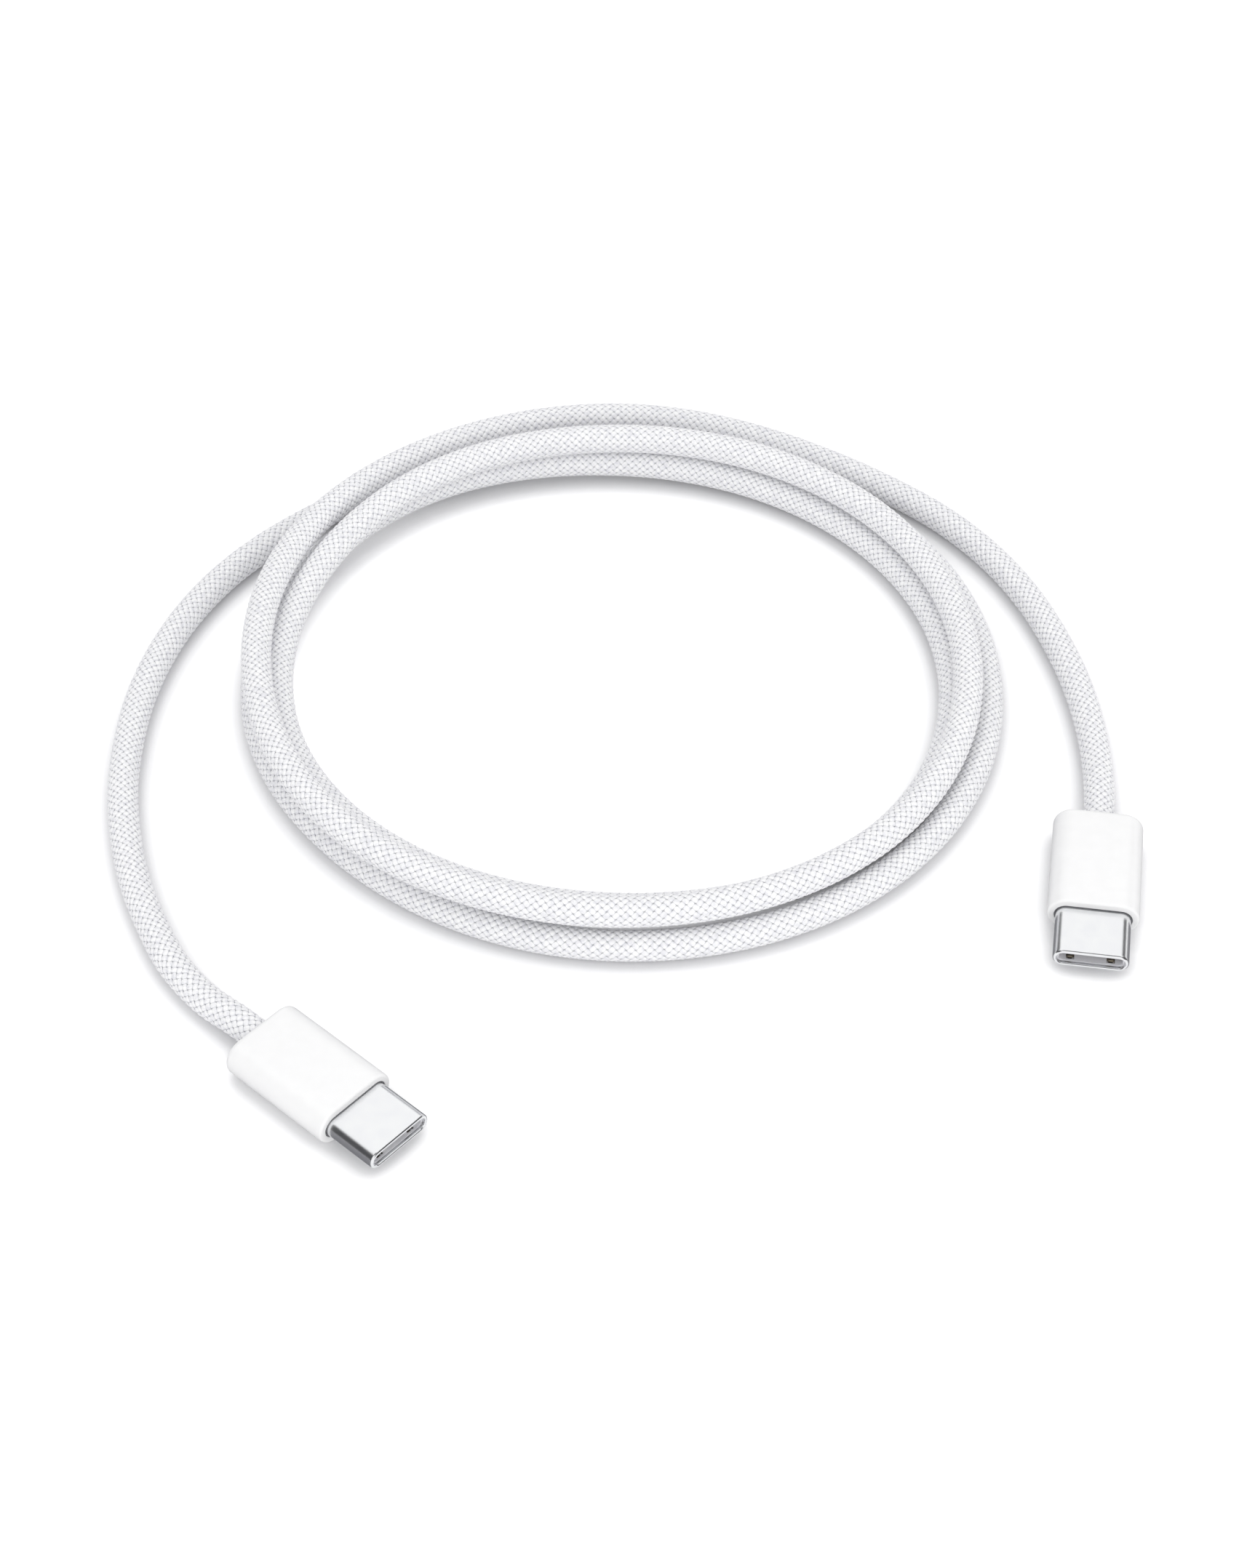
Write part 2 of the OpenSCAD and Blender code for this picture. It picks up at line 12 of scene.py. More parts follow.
import bpy
import numpy as np
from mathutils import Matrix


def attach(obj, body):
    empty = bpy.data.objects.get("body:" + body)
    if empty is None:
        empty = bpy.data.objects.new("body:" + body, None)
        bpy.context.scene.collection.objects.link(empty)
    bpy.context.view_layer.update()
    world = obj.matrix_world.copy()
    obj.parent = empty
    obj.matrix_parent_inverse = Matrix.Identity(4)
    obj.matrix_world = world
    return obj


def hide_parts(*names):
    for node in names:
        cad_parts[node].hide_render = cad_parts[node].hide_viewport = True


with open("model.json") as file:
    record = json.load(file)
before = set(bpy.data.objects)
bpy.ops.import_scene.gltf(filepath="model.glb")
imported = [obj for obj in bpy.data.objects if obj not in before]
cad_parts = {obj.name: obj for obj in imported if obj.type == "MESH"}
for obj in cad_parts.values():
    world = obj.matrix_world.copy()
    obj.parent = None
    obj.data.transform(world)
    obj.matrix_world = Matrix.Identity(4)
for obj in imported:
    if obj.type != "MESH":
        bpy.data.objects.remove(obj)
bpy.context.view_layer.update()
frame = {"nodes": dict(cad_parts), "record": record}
scene = bpy.context.scene
MM = 0.001

# ---------------------------------------------------------------- camera

TARGET = (-8.0, 32.3, 0.0)  # the point on the table that the camera looks at
CAMERA_WAY = 350.0  # from that point
CAMERA_UP = 45.3  # degrees above the table
CAMERA_NEAR = 10.0  # nothing nearer than this is seen
SENSOR_WIDTH = 36.0
FOCAL_WIDTHS = 2.418  # focal length over the frame's width


def make_camera():
    """A camera in front of the table, level across, that looks down at the target."""
    data = bpy.data.cameras.new("camera")
    data.sensor_fit = "HORIZONTAL"
    data.sensor_width = SENSOR_WIDTH
    data.lens = SENSOR_WIDTH * FOCAL_WIDTHS
    data.clip_start = CAMERA_NEAR * MM
    camera = bpy.data.objects.new("camera", data)
    up = math.radians(CAMERA_UP)
    camera.location = (
        TARGET[0] * MM,
        (TARGET[1] - CAMERA_WAY * math.cos(up)) * MM,
        CAMERA_WAY * math.sin(up) * MM,
    )
    camera.rotation_euler = (math.pi / 2 - up, 0, 0)
    scene.collection.objects.link(camera)
    scene.camera = camera


make_camera()

# ---------------------------------------------------------------- sizes

# Plugs: middle of the sleeve's front face, and the nose's direction in degrees from X
PLUGS = {"left": (-36.1, -17.2, -42.0), "right": (43.0, 9.5, -98.5)}
SLEEVE_W, SLEEVE_H, SLEEVE_L = 10.1, 4.5, 14.5
SLEEVE_WALL, FRONT_ROUND, REAR_ROUND = 0.55, 0.3, 0.7
SLEEVE_IN = 2.0  # how far in the skin follows the inside of the wall
# The sleeve's front reaches in to a gap round the shell
COLLAR_GAP, COLLAR_DEPTH, COLLAR_ROUND = 0.18, 0.14, 0.04
# The hole for the cable, in the sleeve's closed rear
BORE_R, BORE_ROUND, BORE_DEPTH = 1.78, 0.12, 1.6
# The shell stands so far out of the sleeve, and reaches so far into it
SHELL_W, SHELL_H, SHELL_OUT, SHELL_IN = 8.25, 2.4, 6.5, 4.2
# The lip is the shell's edge, turned in round the mouth
SHELL_WALL, LIP_WALL, LIP_DEPTH = 0.25, 0.45, 0.4
NOSE_ROUND, LIP_ROUND, LIP_RUN = 0.3, 0.15, 0.36

# Cable: outside diameter over the weave, and the height of its middle where it lies on the table
CORD_D = 3.6
REST_Z = CORD_D / 2
IN_BORE = 1.1  # how far the cable goes into a sleeve's rear
RUN_OUT = 3.0  # how far behind a sleeve the cable still runs straight

# Coil: rows an eighth of a turn apart, of reach outside the mean radius and lift over the table.
# They are the part's rows, but for the strands in front, which lie up to 1.4 mm closer together,
# as soft weave lets them. The first row and the last only steer the ends of the curve.
COIL_R, COIL_X, COIL_Y = 41.9, -8.6, 48.9
LAY_STEP = 1 / 8
LAY = np.array(
    [
        (16.0, 0),
        *((4.6, 0), (0.5, 0), (0.7, 0.2), (1.3, 0)),
        *((2.1, 0.2), (1.2, 0), (0.5, 0), (1.5, 0.2)),
        *((-1.1, 1.7), (-3.5, 1.0), (-3.6, 0.4), (-2.8, 0.3)),
        *((-1.98, 0.67), (-2.73, 1.75), (-0.85, 3.67), (-1.55, 3.23)),
        *((-3.4, 5.8), (-3.5, 5.1), (-2.5, 4.5), (-1.46, 4.22)),
        *((-0.09, 4.04), (-0.05, 4.38), (1.72, 6.42), (0.84, 7.11)),
        *((1.9, 4.9), (3.0, 3.3), (6.0, 0)),
        (11.2, 3.3),
    ]
)
COIL_PLACES = len(LAY) - 3
COIL_KNOTS = 4  # knots of the cable's curve to a row
SETTLE = 0.94  # weave gives where strands cross, so they lie at this share of the solids' lift

# Free stretches, as in the part: points on the table from each plug to the coil
LEFT_RUN = (
    *((-53.0, -2.0), (-57.0, 2.9), (-60.2, 9.1), (-62.8, 15.7), (-64.6, 22.7)),
    *((-65.7, 29.9), (-65.9, 37.1), (-65.4, 44.3), (-64.0, 51.4), (-61.3, 59.2)),
    *((-57.3, 66.5), (-52.4, 72.6), (-47.0, 77.6)),
)
RIGHT_RUN = (
    *((46.1, 33.2), (46.0, 39.6), (45.2, 46.8), (43.4, 54.9), (40.5, 63.2)),
    *((36.6, 70.5), (31.3, 77.3)),
)

# ---------------------------------------------------------------- route of the cable

LINE_STEP = 0.25  # between points of the cable's middle line
FRAME_REACH = 0.3  # the line's direction is measured this far each way


def coil_point(x):
    """Middle of the cable at place x along the coil, clockwise from above, on one smooth curve
    through the rows."""
    i = min(max(int(x), 0), COIL_PLACES - 1)
    u = x - i
    a, b, c, d = LAY[i : i + 4]
    reach, lift = 0.5 * (
        2 * b + (c - a) * u + (2 * a - 5 * b + 4 * c - d) * u**2 + (3 * b - a - 3 * c + d) * u**3
    )
    turn = math.radians(180 - 360 * LAY_STEP * (x + 1))
    r = COIL_R + reach
    return (COIL_X + r * math.cos(turn), COIL_Y + r * math.sin(turn), REST_Z + SETTLE * lift)


def behind(side, way):
    """A point on a plug's axis, that way behind the sleeve's front face."""
    x, y, heading = PLUGS[side]
    a = math.radians(heading)
    return (x - way * math.cos(a), y - way * math.sin(a), SLEEVE_H / 2)


def free_run(side, points):
    """From inside a plug's bore, straight out and down, to the coil."""
    ways = (SLEEVE_L - IN_BORE, SLEEVE_L, SLEEVE_L + RUN_OUT)
    return [behind(side, way) for way in ways] + [(x, y, REST_Z) for x, y in points]


def smooth_line(knots, step):
    """Points about step apart on one smooth curve through the knots."""
    knots = np.array(knots, float)
    gaps = np.linalg.norm(np.diff(knots, axis=0), axis=1)
    slopes = np.diff(knots, axis=0) / gaps[:, None]
    before, after = gaps[:-1, None], gaps[1:, None]
    middle = (slopes[:-1] * after + slopes[1:] * before) / (before + after)
    ways = np.vstack([slopes[:1], middle, slopes[-1:]])
    line = []
    for i, gap in enumerate(gaps):
        u = np.linspace(0, 1, max(2, math.ceil(gap / step)), endpoint=False)[:, None]
        line.append(
            (2 * u**3 - 3 * u**2 + 1) * knots[i]
            + (u**3 - 2 * u**2 + u) * gap * ways[i]
            + (3 * u**2 - 2 * u**3) * knots[i + 1]
            + (u**3 - u**2) * gap * ways[i + 1]
        )
    return np.vstack([*line, knots[-1:]])


class Route:
    """The whole cable's middle line, from the left plug to the right one, with a frame along it."""

    def __init__(self):
        places = np.linspace(0, COIL_PLACES, COIL_KNOTS * COIL_PLACES + 1)
        coil = [coil_point(x) for x in places]
        left = free_run("left", LEFT_RUN)
        right = free_run("right", RIGHT_RUN)[::-1]
        self.line = smooth_line(left + coil + right, LINE_STEP)
        gaps = np.linalg.norm(np.diff(self.line, axis=0), axis=1)
        self.at = np.concatenate([[0], np.cumsum(gaps)])
        self.length = self.at[-1]
        self.coil_from = self.nearest(coil[0])
        self.coil_to = self.nearest(coil[-1])

    def nearest(self, point):
        """The way along to the line's point nearest to this one."""
        return self.at[np.linalg.norm(self.line - point, axis=1).argmin()]

    def points(self, s):
        """Points at these ways along."""
        return np.column_stack([np.interp(s, self.at, self.line[:, k]) for k in range(3)])

    def frames(self, s):
        """Points at these ways along, and the level and upward directions across the cable."""
        way = self.points(s + FRAME_REACH) - self.points(s - FRAME_REACH)
        way /= np.linalg.norm(way, axis=1)[:, None]
        across = np.cross(way, (0, 0, 1.0))
        across /= np.linalg.norm(across, axis=1)[:, None]
        return self.points(s), across, np.cross(across, way)


route = Route()

# ---------------------------------------------------------------- finishes


def colour(code):
    """Linear colour of an sRGB hex code."""
    parts = [int(code[i : i + 2], 16) / 255 for i in (1, 3, 5)]
    return (*(c / 12.92 if c <= 0.04045 else ((c + 0.055) / 1.055) ** 2.4 for c in parts), 1.0)


def add(tree, kind, inputs=None, stops=(), **settings):
    """Adds a node, sets it, fills or links its inputs, and gives it its (place, colour) stops."""
    node = tree.nodes.new(kind)
    for name, value in settings.items():
        setattr(node, name, value)
    for name, value in (inputs or {}).items():
        if isinstance(value, bpy.types.NodeSocket):
            tree.links.new(value, node.inputs[name])
        else:
            node.inputs[name].default_value = value
    for i, (place, code) in enumerate(stops):
        elements = node.color_ramp.elements
        stop = elements[i] if i < len(elements) else elements.new(place)
        stop.position, stop.color = place, colour(code)
    return node


def blank_material(name):
    """A material and its empty node tree."""
    material = bpy.data.materials.new(name)
    material.use_nodes = True
    material.node_tree.nodes.clear()
    return material, material.node_tree


# Flow marks in a melt and uneven patches of a plating measure one to two millimetres
CLOUD = 1.5
CLOUD_LOW, CLOUD_HIGH = 0.2, 0.8  # the clouds' noise seldom leaves this range
# The grain of mould steel and rolled sheet is 0.02 to 0.05 mm, too fine to show: drawn this coarse
GRAIN = 0.15


def worked(name, low, high, rough, depth=0.002, uneven=0.15, **sockets):
    """A surface as the mould, the press or the bath leaves it: faint clouds between a low and a
    high colour, gloss uneven by this share, and a fine grain of this depth."""
    material, tree = blank_material(name)
    place = add(tree, "ShaderNodeTexCoord").outputs["Object"]
    cloud = add(
        tree,
        "ShaderNodeTexNoise",
        {"Vector": place, "Scale": 1 / (CLOUD * MM), "Detail": 3.0},
    ).outputs["Fac"]
    tone = add(
        tree,
        "ShaderNodeValToRGB",
        {"Fac": cloud},
        stops=((0.35, low), (0.65, high)),
    ).outputs["Color"]
    gloss = add(
        tree,
        "ShaderNodeMapRange",
        {
            "Value": cloud,
            "From Min": CLOUD_LOW,
            "From Max": CLOUD_HIGH,
            "To Min": rough * (1 - uneven),
            "To Max": rough * (1 + uneven),
        },
    ).outputs["Result"]
    grain = add(
        tree,
        "ShaderNodeTexNoise",
        {"Vector": place, "Scale": 1 / (GRAIN * MM), "Detail": 2.0},
    ).outputs["Fac"]
    relief = add(
        tree,
        "ShaderNodeBump",
        {"Height": grain, "Distance": depth * MM, "Strength": 0.5},
    ).outputs["Normal"]
    shader = add(
        tree,
        "ShaderNodeBsdfPrincipled",
        {"Base Color": tone, "Roughness": gloss, "Normal": relief, **sockets},
    )
    add(tree, "ShaderNodeOutputMaterial", {"Surface": shader.outputs["BSDF"]})
    return material


# Painted shade over the yarns by their rise: dark grey in the holes between them, grey on their
# shaded ends, white on their backs
YARN_PAINTED_SHADE = ((0.0, "#68696d"), (0.18, "#c6c7ca"), (0.4, "#fcfcfd"), (1.0, "#ffffff"))
DULL_PATCH = 0.5  # about a crossing long, so that no two floats are quite alike
DULL_TONES = ((0.3, "#ececf0"), (0.6, "#ffffff"))
RIB_DEPTH = 0.02  # between the filaments that show


def braided_polyester():
    """Each float is bright and faintly silky on its back, and its filaments run along it as fine
    ribs. Painted shade greys its ends and edges, and turns the holes between floats, and the core
    seen through them, cool grey."""
    material, tree = blank_material("braided polyester")
    # The rise attribute sets painted shade: low where a yarn dips under its crossing and at its
    # edges, zero on the core
    rise = add(tree, "ShaderNodeAttribute", attribute_name="rise").outputs["Fac"]
    tone = add(tree, "ShaderNodeValToRGB", {"Fac": rise}, stops=YARN_PAINTED_SHADE).outputs["Color"]
    place = add(tree, "ShaderNodeTexCoord").outputs["Object"]
    patch = add(
        tree,
        "ShaderNodeTexNoise",
        {"Vector": place, "Scale": 1 / (DULL_PATCH * MM), "Detail": 2.0},
    ).outputs["Fac"]
    dull = add(tree, "ShaderNodeValToRGB", {"Fac": patch}, stops=DULL_TONES).outputs["Color"]
    mixed = add(
        tree,
        "ShaderNodeMix",
        {0: 1.0, 6: tone, 7: dull},
        data_type="RGBA",
        blend_type="MULTIPLY",
    ).outputs[2]
    strand = add(tree, "ShaderNodeAttribute", attribute_name="strand").outputs["Fac"]
    ribs = add(tree, "ShaderNodeMath", {0: strand}, operation="SINE").outputs["Value"]
    relief = add(
        tree,
        "ShaderNodeBump",
        {"Height": ribs, "Distance": RIB_DEPTH * MM, "Strength": 0.6},
    ).outputs["Normal"]
    shader = add(
        tree,
        "ShaderNodeBsdfPrincipled",
        {
            "Base Color": mixed,
            "Roughness": 0.62,
            "IOR": 1.5,
            "Sheen Weight": 0.12,
            "Sheen Roughness": 0.5,
            "Normal": relief,
        },
    )
    add(tree, "ShaderNodeOutputMaterial", {"Surface": shader.outputs["BSDF"]})
    return material


MATERIALS = {
    # Polyester yarn, braided round the cable: a soft white lattice of small floats, with painted
    # shade greying their ends and the holes between them
    "woven_sleeve": braided_polyester(),
    # Polycarbonate, moulded against polished steel: an even white, with a soft, clear highlight
    # along its rounds
    "white_sleeve": worked(
        "moulded polycarbonate", "#f5f5f5", "#f7f7f7", 0.34, depth=0.0008, IOR=1.58
    ),
    # ABS, moulded round the shell against blasted steel: a dull grey that sets off the sleeve's
    # rim; painted shade, darker than the mould's own white, so the gap round the shell's root shows
    # as a dark line
    "inner_mould": worked("moulded ABS in painted shade", "#828286", "#8a8a8e", 0.45, IOR=1.53),
    # Steel, deep drawn in one piece and nickel plated: a satin mirror, white on top, with dark
    # bands along its sides
    "steel_shell": worked(
        "drawn nickel-plated steel",
        "#f3f4f6",
        "#f6f7f8",
        0.26,
        depth=0.0001,
        uneven=0.04,
        Metallic=1.0,
    ),
    # Liquid-crystal polymer, moulded thin: a matt, chalky light grey
    "insulator": worked("moulded liquid-crystal polymer", "#dedee2", "#e6e6e9", 0.4, IOR=1.6),
    # Spring steel, stamped and hardened: brownish grey sheet that glints only at its bends,
    # darkened past its own colour as painted shade, so the fingers show as dark dimples in the
    # mouth
    "spring_steel": worked("stamped spring steel in painted shade", "#6a6459", "#7a7365", 0.3, Metallic=1.0),
    # Stainless steel, stamped: paler and colder than the spring sheet
    "latch_steel": worked("stamped stainless steel", "#c2c3c4", "#d0d0d2", 0.3, Metallic=1.0),
    # Copper alloy, stamped and gold plated: small warm glints in the mouth
    "gold_contacts": worked("gold-plated copper alloy", "#e0bb68", "#ebca7c", 0.22, Metallic=1.0),
    # Epoxy glass under a printed solder mask: deep green, uneven where the mask covers the tracks
    "board": worked("printed solder mask", "#1d5b34", "#24683d", 0.35, depth=0.01, IOR=1.55),
    # Ceramic, sintered: matt, sandy brown
    "ceramic": worked("sintered ceramic", "#9a7b5c", "#a98867", 0.5, IOR=1.6),
    # PVC, extruded over the wires: smooth, a little waxy
    "wire_jacket": worked("extruded PVC", "#b8473f", "#c4544b", 0.45, IOR=1.53),
    # Steel sheet, tinned and folded: soft grey, with a blurred mirror
    "shield_can": worked("folded tin plate", "#b9babb", "#c8c9ca", 0.35, Metallic=1.0),
    # Copper, crimped: reddish, bright on its ridges
    "copper_ring": worked("crimped copper", "#b87d58", "#c78b66", 0.3, Metallic=1.0),
    # Thermoplastic elastomer, extruded over the core: dull, near black
    "core_shield": worked("extruded elastomer", "#4b4b4d", "#565658", 0.6, IOR=1.5),
    # Silicone rubber, moulded: dusty, greyish white
    "soft_bush": worked("moulded silicone rubber", "#d6d6d8", "#dededf", 0.6, IOR=1.43),
}

# ---------------------------------------------------------------- meshes and pieces

SHARP_OVER = 35.0  # degrees between two faces of a skin


def plain_mesh(name, points, faces):
    """A mesh of these faces, from points in millimetres."""
    mesh = bpy.data.meshes.new(name)
    mesh.from_pydata((np.asarray(points) * MM).tolist(), [], faces)
    return mesh


def grid_faces(rows, columns, wrap):
    """Quads over a grid of points, row by row; wrap joins the last column to the first."""
    r = np.arange(rows - 1)[:, None] * columns
    c = np.arange(columns if wrap else columns - 1)[None, :]
    n = (c + 1) % columns
    return np.stack([r + c, r + n, r + columns + n, r + columns + c], axis=-1).reshape(-1, 4)


def dressed(name, mesh, slot, node):
    """A piece that rides with the cable, stands for this node and takes the finish of the slot."""
    mesh.materials.append(MATERIALS[slot])
    piece = bpy.data.objects.new(name, mesh)
    scene.collection.objects.link(piece)
    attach(piece, "cable")
    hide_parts(node)
    return piece


# ---------------------------------------------------------------- weave

CARRIERS = 12  # yarns each way round
CROSSING = 0.5  # way along the cable between two crossings
STEPS = 3  # rings of points to a crossing
RING_WAY = CROSSING / STEPS
ACROSS = 5  # points across a yarn
YARN_MID = 1.60  # radius of the yarns' mean surface
YARN_WAVE = 0.095  # how far a yarn rises over the mean, and dips below it
YARN_CROWN = 0.10  # how far a yarn's middle stands over its edges
YARN_EDGE_SHADE = 0.15  # share of its middle's rise that a yarn's edges show, as painted shade at the edges
# A yarn has dozens of filaments 0.02 mm thick, too fine to show: drawn as so many ribs
YARN_RIBS = 4
CORE_R = 1.45
CORE_SIDES = 20
CORE_STEPS = 2 * STEPS  # rings of the weave to a ring of the core
TILE = 4 * STEPS  # rings of points in one repeat of the bake map
YARN_STRIPS = {1: 0.02, -1: 0.52}  # left edge on the bake map of the yarns of each hand
STRIP_WIDTH = 0.46
CORE_STRIP = 0.01  # the core's share of the bake map, at its left edge
STRETCHES = 6  # in the coil


def around(middle, level, upward, turn, r):
    """Points round the cable, at these turns and radii for each point of its middle line."""
    return (
        middle[:, None, :]
        + (r * np.cos(turn))[..., None] * level[:, None, :]
        + (r * np.sin(turn))[..., None] * upward[:, None, :]
    ).reshape(-1, 3)


def yarn_bake_map(rows, first_ring, hand):
    """Corners of a yarn's quads on the bake map, where the weave repeats."""
    row = (np.arange(rows - 1)[:, None] + first_ring) % TILE
    column = np.arange(ACROSS - 1)[None, :]
    left = YARN_STRIPS[hand] + STRIP_WIDTH * column / (ACROSS - 1) + 0 * row
    right = left + STRIP_WIDTH / (ACROSS - 1)
    low, high = row / TILE + 0 * column, (row + 1) / TILE + 0 * column
    corners = [(left, low), (right, low), (right, high), (left, high)]
    return np.stack([np.stack(c, axis=-1) for c in corners[::-hand]], axis=2).reshape(-1, 4, 2)


def weave_arrays(s):
    """Points, quads, bake map, rise for the painted shade, and strand phase of yarns and core at
    ways s along.
    """
    middle, level, upward = route.frames(s)
    rows = len(s)
    pitch = 2 * CARRIERS * CROSSING
    lean = math.atan2(2 * math.pi * YARN_MID, pitch)
    u = np.linspace(-1, 1, ACROSS)
    offset = u * math.pi / CARRIERS
    crown = 1 - u**2
    parts = []
    first = 0
    for hand in (1, -1):
        foot = s[:, None] + hand * YARN_MID * offset * math.sin(lean) * math.cos(lean)
        wave = hand * np.cos(math.pi * foot / CROSSING)
        r = YARN_MID + YARN_WAVE * wave + YARN_CROWN * crown
        # Painted shade: a yarn darkens where it dips under its crossing yarn and towards its edges
        rise = (0.5 + 0.5 * wave) * (YARN_EDGE_SHADE + (1 - YARN_EDGE_SHADE) * crown)
        strand = np.broadcast_to(math.pi * YARN_RIBS * u, r.shape)
        bake_map = yarn_bake_map(rows, round(s[0] / RING_WAY), hand)
        for k in range(CARRIERS):
            turn = hand * 2 * math.pi * s[:, None] / pitch + 2 * math.pi * k / CARRIERS + offset
            points = around(middle, level, upward, turn, r)
            quads = grid_faces(rows, ACROSS, False)[:, ::-hand] + first
            parts.append((points, quads, bake_map, rise.reshape(-1), strand.reshape(-1)))
            first += len(points)
    rings = [*range(0, rows - 1, CORE_STEPS), rows - 1]
    turn = 2 * math.pi * np.arange(CORE_SIDES)[None, :] / CORE_SIDES
    points = around(middle[rings], level[rings], upward[rings], turn, CORE_R)
    quads = grid_faces(len(rings), CORE_SIDES, True)[:, ::-1] + first
    strip = np.array([(0.0, 0.0), (CORE_STRIP, 0.0), (CORE_STRIP, 1.0), (0.0, 1.0)])
    # The core takes rise zero, the darkest painted shade, as seen through the holes
    flat = np.zeros(len(points))
    parts.append((points, quads, np.broadcast_to(strip, (len(quads), 4, 2)), flat, flat))
    return [np.concatenate(arrays) for arrays in zip(*parts)]


def woven_mesh(name, s):
    """The weave's mesh at ways s along, with its bake map, its rise for the painted shade, and its
    strand phase.
    """
    points, quads, bake_map, rise, strand = weave_arrays(s)
    mesh = bpy.data.meshes.new(name)
    mesh.vertices.add(len(points))
    mesh.vertices.foreach_set("co", (points * MM).astype(np.float32).ravel())
    mesh.loops.add(quads.size)
    mesh.loops.foreach_set("vertex_index", quads.astype(np.int32).ravel())
    mesh.polygons.add(len(quads))
    mesh.polygons.foreach_set("loop_start", np.arange(0, quads.size, 4, dtype=np.int32))
    layer = mesh.uv_layers.new(name="OFBake")
    layer.uv.foreach_set("vector", bake_map.astype(np.float32).ravel())
    for field, values in (("rise", rise), ("strand", strand)):
        attribute = mesh.attributes.new(field, "FLOAT", "POINT")
        attribute.data.foreach_set("value", values.astype(np.float32))
    mesh.update(calc_edges=True)
    mesh.validate()
    mesh.shade_smooth()
    return mesh


def woven_stretch(name, start, end, node):
    """One stretch of the cable, from one way along to another."""
    s = np.arange(round(start / RING_WAY), round(end / RING_WAY) + 1) * RING_WAY
    piece = dressed(name, woven_mesh(name, s), "woven_sleeve", node)


def make_cable():
    """The left run, the coil in equal stretches, and the right run."""
    cuts = np.linspace(route.coil_from, route.coil_to, STRETCHES + 1)
    woven_stretch("cable_left_stretch", 0.0, cuts[0], "cable_left_run")
    for i, (start, end) in enumerate(zip(cuts[:-1], cuts[1:])):
        woven_stretch(f"cable_coil_stretch_{i + 1}", start, end, "cable_coil")
    woven_stretch("cable_right_stretch", cuts[-1], route.length, "cable_right_run")


make_cable()

# ---------------------------------------------------------------- plugs

ARC_STEPS, FLAT_STEPS = 24, 16  # points round a half circle, and along a flat side


def stadium_ring(flat, r):
    """Points round a stadium: right end, top, left end, bottom."""
    right = np.radians(np.linspace(-90, 90, ARC_STEPS, endpoint=False))
    top = np.linspace(flat / 2, -flat / 2, FLAT_STEPS, endpoint=False)
    ends = np.column_stack([flat / 2 + r * np.cos(right), r * np.sin(right)])
    tops = np.column_stack([top, np.full(FLAT_STEPS, r)])
    return np.vstack([ends, tops, -ends, -tops])


def circle_ring(like, r):
    """Points on a circle, each in the direction of its point in another ring."""
    return like / np.linalg.norm(like, axis=1)[:, None] * r


def quarter(r_mid, z_mid, r, start, end, steps=8, run=None):
    """(radius, z) points round a rounded edge, from one angle to another; run is its radius
    along z if it differs."""
    a = np.radians(np.linspace(start, end, steps + 1))
    return list(zip(r_mid + r * np.cos(a), z_mid + (run or r) * np.sin(a)))


def laid(side, points):
    """Points of an upright plug, laid on the table at its place."""
    x, y, heading = PLUGS[side]
    a = math.radians(heading)
    across = np.array((-math.sin(a), math.cos(a), 0))
    upward = np.array((0, 0, 1.0))
    along = np.array((math.cos(a), math.sin(a), 0))
    p = np.asarray(points, float)
    place = np.array((x, y, SLEEVE_H / 2))
    return place + p[:, :1] * across + p[:, 1:2] * upward + p[:, 2:] * along


def plug_skin(side, part, rings, slot):
    """A skin over rings of (points, z), which replaces this part of the plug."""
    points = np.vstack([np.column_stack([ring, np.full(len(ring), z)]) for ring, z in rings])
    faces = grid_faces(len(rings), len(rings[0][0]), True)
    name = f"{side}_{part}_skin"
    mesh = plain_mesh(name, laid(side, points), faces.tolist())
    mesh.shade_smooth()
    mesh.set_sharp_from_angle(angle=math.radians(SHARP_OVER))
    dressed(name, mesh, slot, f"{side}_{part}")


def make_sleeve(side):
    """The white sleeve, from the bore in its rear, over its outside, to the gap at the shell."""
    flat, r = SLEEVE_W - SLEEVE_H, SLEEVE_H / 2
    inner, gap = r - SLEEVE_WALL, SHELL_H / 2 + COLLAR_GAP
    rear = stadium_ring(flat, r - REAR_ROUND)
    bore = [
        (BORE_R, BORE_DEPTH),
        *quarter(BORE_R + BORE_ROUND, BORE_ROUND, BORE_ROUND, 180, 270, 4),
    ]
    outside = [
        *quarter(r - REAR_ROUND, REAR_ROUND - SLEEVE_L, REAR_ROUND, -90, 0),
        *quarter(r - FRONT_ROUND, -FRONT_ROUND, FRONT_ROUND, 0, 90),
    ]
    collar = [
        *quarter(gap + COLLAR_ROUND, -COLLAR_ROUND, COLLAR_ROUND, 90, 180, 3),
        (gap, -COLLAR_DEPTH),
    ]
    rings = [(circle_ring(rear, a), b - SLEEVE_L) for a, b in bore]
    rings += [(stadium_ring(flat, a), z) for a, z in outside]
    rings += [(stadium_ring(SHELL_W - SHELL_H, a), z) for a, z in collar]
    rings += [(stadium_ring(flat, inner), z) for z in (-COLLAR_DEPTH, -SLEEVE_IN)]
    plug_skin(side, "sleeve", rings, "white_sleeve")


